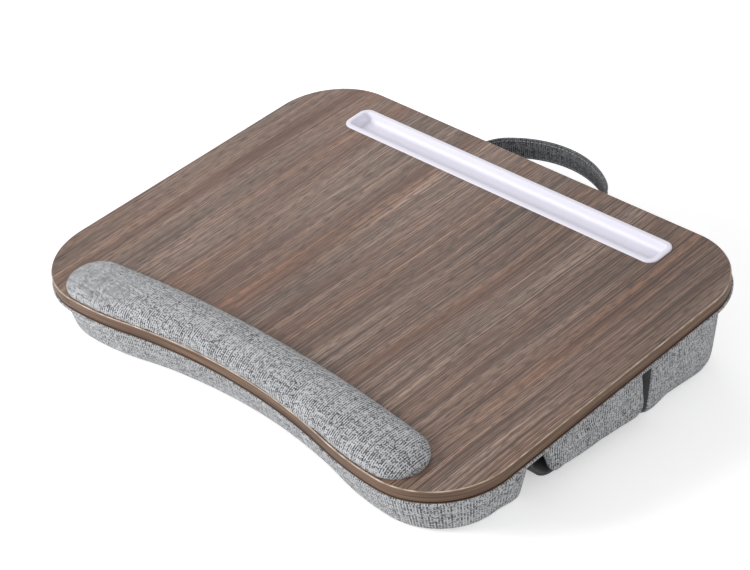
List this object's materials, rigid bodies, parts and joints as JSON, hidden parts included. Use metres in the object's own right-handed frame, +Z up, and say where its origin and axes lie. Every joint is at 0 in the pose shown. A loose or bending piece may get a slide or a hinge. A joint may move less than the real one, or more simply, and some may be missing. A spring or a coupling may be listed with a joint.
{
  "type": "laptop stand with drawer",
  "caption": "Padded lap desk with a walnut-look top, media slot, wrist rest and rear strap, on wedge cushions with a side-opening drawer.",
  "frame": {"origin": "middle of the footprint on the floor, under the centre of the bounding box", "axes": "+X is the drawer's way out, along the desk's width; +Y is the tall rear edge with the carrying strap; +Z is up"},
  "size_m": [0.5212, 0.4492, 0.0995],
  "materials": {
    "walnut_laminate": "matt decor laminate with a fine walnut grain",
    "fibreboard": "sawn fibreboard",
    "balance_laminate": "plain brown backing laminate",
    "edge_band": "satin edging with lengthwise grain",
    "white_plastic": "smooth satin moulded plastic",
    "heather_fabric": "heather-grey plain weave",
    "foam": "open-cell polyurethane foam",
    "hardboard": "smooth hardboard",
    "black_sheet": "thin black double-sided mounting sheet",
    "charcoal_felt": "dense charcoal felt, stiffened",
    "black_plastic": "fine-grained moulded plastic",
    "grey_plastic": "plain light grey sheet",
    "screw_steel": "zinc-plated steel",
    "dark_heather": "dark heather webbing with stitched hems"
  },
  "bodies": {
    "desk": {"top_laminate": "walnut_laminate", "desk_board": "fibreboard", "balance_sheet": "balance_laminate", "edge_band": "edge_band", "media_tray": "white_plastic", "wrist_rest_cover": "heather_fabric", "wrist_rest_foam": "foam", "wrist_rest_board": "hardboard", "adhesive_sheet": "black_sheet", "base_panel": "hardboard", "base_cover": "heather_fabric", "front_bolster_cover": "heather_fabric", "front_bolster_fill": "foam", "rear_bolster_cover": "heather_fabric", "rear_bolster_fill": "foam", "drawer_sleeve": "charcoal_felt", "runner_front": "black_plastic", "runner_rear": "black_plastic", "runner_screws": "screw_steel", "handle_strap": "dark_heather"},
    "drawer": {"drawer_tray": "black_plastic", "drawer_front_board": "grey_plastic", "drawer_front_foam": "foam", "drawer_front_cover": "heather_fabric", "drawer_front_screws": "screw_steel"}
  },
  "joints": [
    {"name": "drawer_slide", "type": "slide", "parent": "desk", "child": "drawer", "axis": [1, 0, 0], "range_m": [0, 0.32]}
  ]
}
